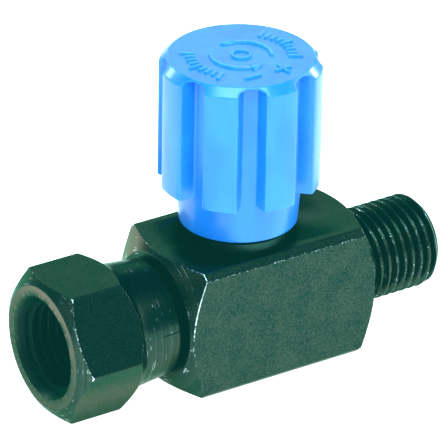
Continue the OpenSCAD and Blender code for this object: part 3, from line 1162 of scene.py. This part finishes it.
@dataclass
class TopMarks:
    """Raised generic marks on the knob's top: two turning arrows, a plus, a minus and rows of ticks."""

    top: float
    height: float = 0.28
    sunk: float = 0.05
    ring: float = 1.25
    arrows: float = 4.1
    sign_row: float = -6.5
    sign_place: float = 2.4
    sign_reach: float = 1.3
    sign_rise: float = 1.4
    sign_gap: float = 0.24
    tick_start: float = 6.2
    short_tick: float = 7.6
    long_tick: float = 8.3
    tick_spacing: float = 8.5
    strokes: list[tuple[Array, Array]] = field(default_factory=list)

    def stroke(self, path: Array, width: Array | float) -> None:
        """Adds one raised stroke.

        Args:
            path: points along its middle, as rows of x and y.
            width: its width at each point.
        """
        self.strokes.append((path, np.broadcast_to(width, len(path)).astype(float)))

    def line(self, start: Sequence[float], end: Sequence[float], width: float) -> None:
        """Adds a straight stroke between two points."""
        t = np.array([0, 0.03, 0.06, 0.5, 0.94, 0.97, 1.0])[:, None]
        self.stroke(np.array(start)[None, :] * (1 - t) + np.array(end)[None, :] * t, width)

    def arc(self, radius: float, first: float, last: float, width: float) -> None:
        """Adds an arc round the middle, from one angle to another, in degrees."""
        t = np.radians(np.linspace(first, last, 33))
        self.stroke(radius * np.stack([np.cos(t), np.sin(t)], -1), width)

    def head(self, tip: Sequence[float], angle: float, length: float, width: float) -> None:
        """Adds an arrow head.

        Args:
            tip: its point.
            angle: the way that it points, in degrees.
            length: from its point to its base.
            width: width of its base.
        """
        way = np.array([math.cos(math.radians(angle)), math.sin(math.radians(angle))])
        t = np.array([1.0, 0.98, 0.6, 0.3, 0.06, 0.0])[:, None]
        self.stroke(np.array(tip)[None, :] - way[None, :] * length * t, width * (0.06 + 0.94 * t[:, 0]))

    def lay_out(self) -> None:
        """Puts two turning arrows round a ring in the middle, plus and minus in front, ticks at the sides."""
        self.arc(self.ring, 0, 360, width=0.42)
        for side in (0, 180):
            self.arc(self.arrows, side - 35, side + 78, width=0.62)
            place = math.radians(side + 100)
            tip = (self.arrows * math.cos(place), self.arrows * math.sin(place))
            self.head(tip, side + 184, length=1.9, width=1.7)
        row, plus = self.sign_row, self.sign_place
        for middle in (-plus, plus):
            self.line((middle - self.sign_reach, row), (middle + self.sign_reach, row), width=0.45)
        self.line((plus, row - self.sign_rise), (plus, row - self.sign_gap), width=0.45)
        self.line((plus, row + self.sign_gap), (plus, row + self.sign_rise), width=0.45)
        for side in (0, 180):
            for step in range(-4, 5):
                angle = math.radians(side + self.tick_spacing * step)
                reach = self.short_tick if step % 4 else self.long_tick
                way = np.array([math.cos(angle), math.sin(angle)])
                self.line(way * self.tick_start, way * reach, width=0.42)

    def sweep(self, path: Array, width: Array) -> tuple[Array, Array]:
        """Carries a rounded hump along a path.

        Each cross-section has seven points: offset sideways by a share of half the width, and raised by a
        share of the height. The two ends sink to the path's own line, so the stroke is closed.

        Args:
            path: rows of x and y.
            width: width at each row.

        Returns:
            Points, and the four-sided faces that join them.
        """
        along = np.gradient(path, axis=0)
        along /= np.linalg.norm(along, axis=1, keepdims=True)
        side = np.stack([-along[:, 1], along[:, 0]], -1)
        share = np.array([-1.0, -0.85, -0.6, 0.0, 0.6, 0.85, 1.0])
        lip, crest = 0.6 * self.height, self.height
        lift = np.array([-self.sunk, lip, crest, crest, crest, lip, -self.sunk])
        ends = np.ones(len(path))
        ends[[0, -1]] = 0.0
        offset = share[None, :] * width[:, None] / 2 * ends[:, None]
        flat = path[:, None, :] + side[:, None, :] * offset[..., None]
        rise = np.where(ends[:, None] > 0, lift[None, :], -self.sunk) + self.top
        points = np.concatenate([flat, rise[..., None]], -1)
        rows, columns = rise.shape
        number = np.arange(rows * columns).reshape(rows, columns)
        turn = np.roll(number, -1, axis=1)
        faces = np.stack([number[:-1], turn[:-1], turn[1:], number[1:]], -1).reshape(-1, 4)
        return points.reshape(-1, 3) * MM, faces

    def build(self) -> bpy.types.Object:
        """Makes all the strokes as one object.

        Returns:
            The marks.
        """
        self.lay_out()
        points, faces, count = [], [], 0
        for path, width in self.strokes:
            some_points, some_faces = self.sweep(path, width)
            points.append(some_points)
            faces.append(some_faces + count)
            count += len(some_points)
        cloud = np.concatenate(points)
        # The raised marks are paled all over with the knob's edge colour: a painted highlight.
        return make_object("top_marks", cloud, np.concatenate(faces), {"wear_and_highlight": np.full(len(cloud), 0.7)})


# ---------------------------------------------------------------------------------------------------------
# The studio


@dataclass(frozen=True)
class SoftBox:
    """One soft lamp, aimed at a point."""

    name: str
    place: Place
    aim: Place
    size: tuple[float, float]
    power: float
    tint: Colour = (1.0, 1.0, 1.0)

    def build(self) -> None:
        """Adds the area lamp and turns its face to the aim."""
        lamp = bpy.data.lights.new(self.name, "AREA")
        lamp.shape = "RECTANGLE"
        lamp.size, lamp.size_y = self.size
        lamp.energy = self.power
        lamp.color = self.tint
        item = bpy.data.objects.new(self.name, lamp)
        item.location = self.place
        item.rotation_euler = (Vector(self.aim) - Vector(self.place)).to_track_quat("-Z", "Y").to_euler()
        bpy.context.scene.collection.objects.link(item)


@dataclass(frozen=True)
class Studio:
    """White floor, soft lamps and the camera. Its lengths are in metres, but for the lens in millimetres."""

    turn: float = math.radians(-33.856)
    rise: float = math.radians(27.477)
    roll: float = math.radians(1.084)
    distance: float = 0.67739
    target: Place = (-0.002238, 0.0, 0.02033)
    focal: float = 401.8
    half_floor: float = 1.6
    floor_glow: float = 1.05
    room: Colour = (0.12, 0.85, 0.90)
    room_strength: float = 0.42
    aim: Place = (0.0, 0.0, 0.02)
    veil: Colour = (0.001, 0.028, 0.024)

    def camera(self) -> None:
        """Stands a long lens at the given turn and rise, rolled by a degree."""
        back = Vector((
            math.sin(self.turn) * math.cos(self.rise),
            -math.cos(self.turn) * math.cos(self.rise),
            math.sin(self.rise),
        ))
        right = Vector((math.cos(self.turn), math.sin(self.turn), 0))
        up = back.cross(right)
        across = math.cos(self.roll) * right + math.sin(self.roll) * up
        upward = math.cos(self.roll) * up - math.sin(self.roll) * right
        lens = bpy.data.cameras.new("camera")
        lens.sensor_width = 36.0
        lens.lens = self.focal
        lens.clip_end = 10.0
        item = bpy.data.objects.new("camera", lens)
        place = Vector(self.target) + back * self.distance
        item.matrix_world = Matrix.Translation(place) @ Matrix((across, upward, back)).transposed().to_4x4()
        bpy.context.scene.collection.objects.link(item)
        bpy.context.scene.camera = item

    def floor(self) -> None:
        """A wide white sheet under the valve."""
        half = self.half_floor
        mesh = bpy.data.meshes.new("floor")
        corners = [(-half, -half, 0), (half, -half, 0), (half, half, 0), (-half, half, 0)]
        mesh.from_pydata(corners, [], [(0, 1, 2, 3)])
        item = bpy.data.objects.new("floor", mesh)
        bpy.context.scene.collection.objects.link(item)
        g = Graph("floor_paint")
        cloud = g.noise(g.position, 0.01, 2.0, 0.5)
        white = g.mix(cloud, (0.90, 0.90, 0.90), (0.93, 0.93, 0.93))
        paper = (1.0, 1.0, 1.0)
        mesh.materials.append(g.dress(
            Base_Color=white, Roughness=0.9, Emission_Color=paper, Emission_Strength=self.floor_glow,
        ))

    def air(self) -> None:
        """A dim coloured room for reflections and fill, which the camera sees as plain white."""
        world = bpy.data.worlds.new("room")
        bpy.context.scene.world = world
        world.use_nodes = True
        tree = world.node_tree
        shade = tree.nodes["Background"]
        paper = tree.nodes.new("ShaderNodeBackground")
        paper.inputs["Color"].default_value = (1.0, 1.0, 1.0, 1.0)
        seen = tree.nodes.new("ShaderNodeLightPath").outputs["Is Camera Ray"]
        choice = tree.nodes.new("ShaderNodeMixShader")
        for source, target in (
            (seen, choice.inputs[0]),
            (shade.outputs[0], choice.inputs[1]),
            (paper.outputs[0], choice.inputs[2]),
            (choice.outputs[0], tree.nodes["World Output"].inputs["Surface"]),
        ):
            tree.links.new(source, target)
        shade.inputs["Color"].default_value = (*self.room, 1.0)
        shade.inputs["Strength"].default_value = self.room_strength

    def lamps(self) -> None:
        """Lamps in front, overhead, at both sides and behind, and one for each glint on the crown."""
        aim = self.aim
        for box in (
            SoftBox("key_box", (-0.10, -0.66, 0.53), aim, (0.22, 0.22), 1.3),
            SoftBox("crown_box", (-0.23, -0.34, 0.84), aim, (1.0, 0.16), 10.0, (0.5, 1.0, 1.0)),
            SoftBox("front_box", (-0.48, -0.72, 0.28), aim, (0.5, 0.25), 0.6),
            SoftBox("right_box", (0.76, -0.25, 0.38), aim, (0.3, 0.5), 1.6),
            SoftBox("left_box", (-0.80, 0.15, 0.30), aim, (0.3, 0.3), 0.25, (1.0, 0.9, 0.86)),
            SoftBox("back_box", (0.3, 1.2, 0.70), aim, (1.6, 0.7), 4.4),
            SoftBox("left_glint", (-0.386, 0.935, 0.475), aim, (0.2, 0.12), 2.0, (0.7, 1.0, 1.0)),
            SoftBox("right_glint", (1.037, 0.117, 0.39), aim, (0.2, 0.12), 2.8, (0.8, 1.0, 1.0)),
        ):
            box.build()

    def tone(self) -> None:
        """A plain view under a faint veil, such as a white sheet throws into a lens.

        The curve of each colour starts at the veil's value, so the darkest tone is a deep teal.
        """
        view = bpy.context.scene.view_settings
        view.view_transform = "Standard"
        view.use_curve_mapping = True
        for curve, low in zip(view.curve_mapping.curves, self.veil):
            curve.points[0].location = (0.0, low)
        view.curve_mapping.update()

    def build(self) -> None:
        """Sets up the whole studio."""
        self.camera()
        self.floor()
        self.air()
        self.lamps()
        self.tone()


# ---------------------------------------------------------------------------------------------------------
# Putting it together


def span(node: str) -> tuple[Array, Array]:
    """Lowest and highest corner of a CAD node, in millimetres."""
    low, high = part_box(node)
    return np.array(low) / MM, np.array(high) / MM


def place_piece(
    item: bpy.types.Object, material: bpy.types.Material, body: str, node: str | None,
) -> None:
    """Dresses a new piece and ties it to its body.

    Args:
        item: the piece.
        material: its finish.
        body: the CAD body that it rides on.
        node: the CAD node that it stands for, if any.
    """
    item.data.materials.clear()
    item.data.materials.append(material)
    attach(item, body)
    if node:
        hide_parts(node)
    log.info("%s: %d faces on %s", item.name, len(item.data.polygons), body)


def dress_nodes(frame: dict, materials: dict[str, bpy.types.Material]) -> None:
    """Gives each CAD node that stays in view the finish of its slot.

    Args:
        frame: what the frame loader returned.
        materials: a material for each slot.
    """
    for part in frame["record"]["subparts"]:
        item = frame["nodes"][part["node"]]
        for slot in item.material_slots:
            slot.material = materials[part["material_slot"]]
        log.info("%s: %s", part["node"], part["material_slot"])


def finishes() -> dict[str, bpy.types.Material]:
    """Makes the valve's finishes.

    Returns:
        A material for each slot in the record.
    """
    return {
        "blackened_steel": BlackOxide().build(),
        "bonnet_steel": BlackOxide("bonnet_skin", (0.006, 0.030, 0.026), (0.024, 0.050, 0.040)).build(),
        "stainless_steel": TurnedMetal("stainless", (0.66, 0.66, 0.64), (0.42, 0.42, 0.41)).build(),
        "hardened_steel": TurnedMetal("hardened", (0.52, 0.52, 0.53), (0.34, 0.34, 0.36), 0.2).build(),
        "screw_steel": TurnedMetal("screw_skin", (0.08, 0.08, 0.09), (0.03, 0.03, 0.035), 0.4).build(),
        "bronze": TurnedMetal("bronze", (0.78, 0.53, 0.25), (0.50, 0.31, 0.13), 0.3).build(),
        "seal_rubber": SoftSeal("nitrile", (0.018, 0.018, 0.020), (0.035, 0.035, 0.038)).build(),
        "ptfe": SoftSeal("ptfe", (0.84, 0.84, 0.80), (0.74, 0.73, 0.66), 0.42).build(),
        "blue_plastic": MouldedPlastic().build(),
    }


def main() -> None:
    """Builds the studio, the three detailed pieces and the finishes of the rest."""
    logging.basicConfig(level=logging.INFO, format="%(message)s")
    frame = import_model()
    Studio().build()
    materials = finishes()
    dress_nodes(frame, materials)
    body_low, body_high = span("valve_body")
    nut_low, nut_high = span("swivel_nut")
    knob_low, knob_high = span("knob")
    half = (body_high[2] - body_low[2]) / 2
    axis_height = body_low[2] + half
    steel, plastic = materials["blackened_steel"], materials["blue_plastic"]
    body = Body(axis_height, half, nose=body_low[0], tip=body_high[0]).build()
    place_piece(body, steel, "valve", "valve_body")
    nut_flat = (nut_high[2] - nut_low[2]) / 2
    nut = SwivelNut(axis_height, front=nut_low[0], rear=nut_high[0], flat=nut_flat).build()
    place_piece(nut, steel, "nut", "swivel_nut")
    knob = Knob(foot=knob_low[2], top=knob_high[2], radius=knob_high[0]).build()
    place_piece(knob, plastic, "control", "knob")
    marks = TopMarks(top=knob_high[2]).build()
    place_piece(marks, plastic, "control", None)


if __name__ == "__main__":
    main()
